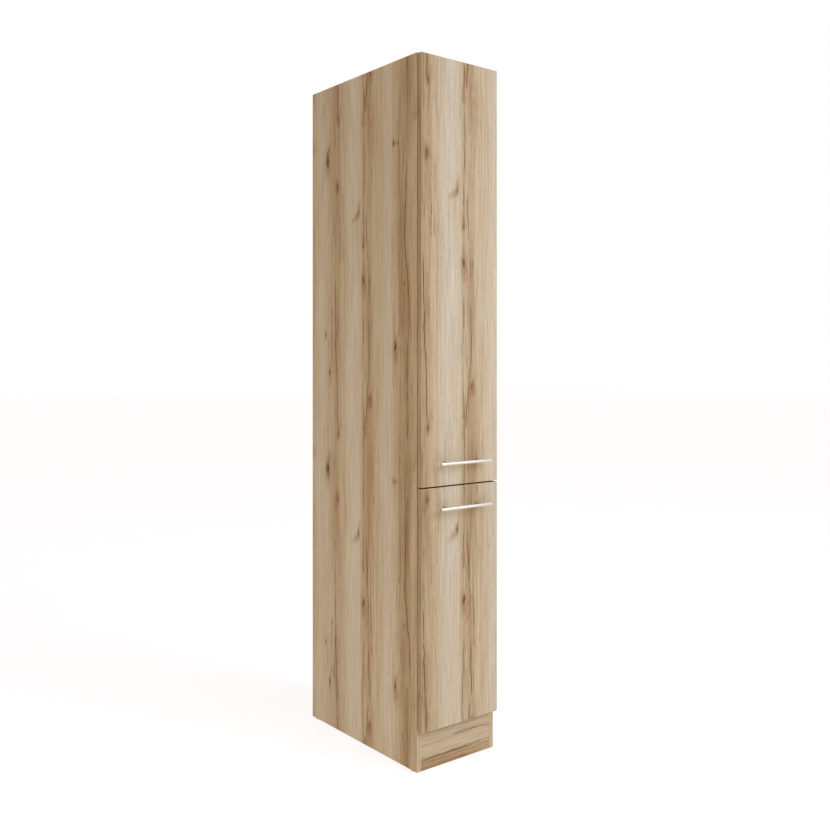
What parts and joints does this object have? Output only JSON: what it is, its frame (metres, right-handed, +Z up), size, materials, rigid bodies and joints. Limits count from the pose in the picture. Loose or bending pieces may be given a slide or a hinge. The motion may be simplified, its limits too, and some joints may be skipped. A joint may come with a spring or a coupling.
{
  "type": "tall pull-out pantry cabinet",
  "caption": "Tall narrow kitchen pantry cabinet in pale knotty beech decor, with pull-out larder frames of trays behind wide fronts with round bar handles.",
  "frame": {"origin": "middle of the object's footprint, handles included, on the floor", "axes": "+Z up, -Y towards the user (the fronts face -Y and the pull-outs come out along -Y), +X to the right of a user who faces the fronts"},
  "size_m": [0.3, 0.602, 2.07],
  "materials": {
    "beech_decor": "matt melamine foil printed as pale knotty beech with a fine embossed pore, on 16 mm chipboard",
    "white_hardboard": "white painted face on 3 mm hardboard",
    "white_plastic": "extruded white plastic, matt",
    "black_plastic": "moulded black plastic, matt",
    "brushed_steel": "fine satin brushing round the bar",
    "zinc_steel": "bright zinc-plated sheet steel",
    "grey_paint": "silver-grey powder coat",
    "chrome_wire": "bright chromed wire",
    "white_board": "white melamine-faced board with edging",
    "grey_plastic": "grey nylon"
  },
  "bodies": {
    "carcass": {"left_side_panel": "beech_decor", "right_side_panel": "beech_decor", "top_panel": "beech_decor", "bottom_panel": "beech_decor", "middle_shelf": "beech_decor", "plinth_board": "beech_decor", "back_panel_lower": "white_hardboard", "back_panel_upper": "white_hardboard", "back_joint_strip": "white_plastic", "floor_glide_left_front": "black_plastic", "floor_glide_left_rear": "black_plastic", "floor_glide_right_front": "black_plastic", "floor_glide_right_rear": "black_plastic", "lower_guide_rail": "zinc_steel", "lower_cabinet_rail_left": "zinc_steel", "lower_cabinet_rail_right": "zinc_steel", "upper_guide_rail": "zinc_steel", "upper_cabinet_rail_left": "zinc_steel", "upper_cabinet_rail_right": "zinc_steel"},
    "lower_runner_middles": {"lower_middle_rail_left": "zinc_steel", "lower_middle_rail_right": "zinc_steel"},
    "lower_pull_out": {"lower_front": "beech_decor", "lower_handle_bar": "brushed_steel", "lower_handle_post_left": "brushed_steel", "lower_handle_post_right": "brushed_steel", "lower_handle_screw_left": "zinc_steel", "lower_handle_screw_right": "zinc_steel", "lower_front_bracket_low": "zinc_steel", "lower_front_bracket_high": "zinc_steel", "lower_carriage_rail_left": "zinc_steel", "lower_carriage_rail_right": "zinc_steel", "lower_carriage_pan": "grey_paint", "lower_hoop_frame": "grey_paint", "lower_guide_block": "grey_plastic", "lower_tray_base_1": "white_board", "lower_tray_gallery_1": "chrome_wire", "lower_tray_base_2": "white_board", "lower_tray_gallery_2": "chrome_wire"},
    "upper_runner_middles": {"upper_middle_rail_left": "zinc_steel", "upper_middle_rail_right": "zinc_steel"},
    "upper_pull_out": {"upper_front": "beech_decor", "upper_handle_bar": "brushed_steel", "upper_handle_post_left": "brushed_steel", "upper_handle_post_right": "brushed_steel", "upper_handle_screw_left": "zinc_steel", "upper_handle_screw_right": "zinc_steel", "upper_front_bracket_low": "zinc_steel", "upper_front_bracket_high": "zinc_steel", "upper_carriage_rail_left": "zinc_steel", "upper_carriage_rail_right": "zinc_steel", "upper_carriage_pan": "grey_paint", "upper_hoop_frame": "grey_paint", "upper_guide_block": "grey_plastic", "upper_tray_base_1": "white_board", "upper_tray_gallery_1": "chrome_wire", "upper_tray_base_2": "white_board", "upper_tray_gallery_2": "chrome_wire", "upper_tray_base_3": "white_board", "upper_tray_gallery_3": "chrome_wire"}
  },
  "joints": [
    {"name": "lower_pull", "type": "slide", "parent": "carcass", "child": "lower_pull_out", "axis": [0, -1, 0], "range_m": [0, 0.45]},
    {"name": "lower_runner_slide", "type": "slide", "parent": "carcass", "child": "lower_runner_middles", "axis": [0, -1, 0], "range_m": [0, 0.225]},
    {"name": "upper_pull", "type": "slide", "parent": "carcass", "child": "upper_pull_out", "axis": [0, -1, 0], "range_m": [0, 0.45]},
    {"name": "upper_runner_slide", "type": "slide", "parent": "carcass", "child": "upper_runner_middles", "axis": [0, -1, 0], "range_m": [0, 0.225]}
  ],
  "couplings": [
    {"joint": "lower_runner_slide", "follows": "lower_pull", "ratio": 0.5},
    {"joint": "upper_runner_slide", "follows": "upper_pull", "ratio": 0.5}
  ]
}
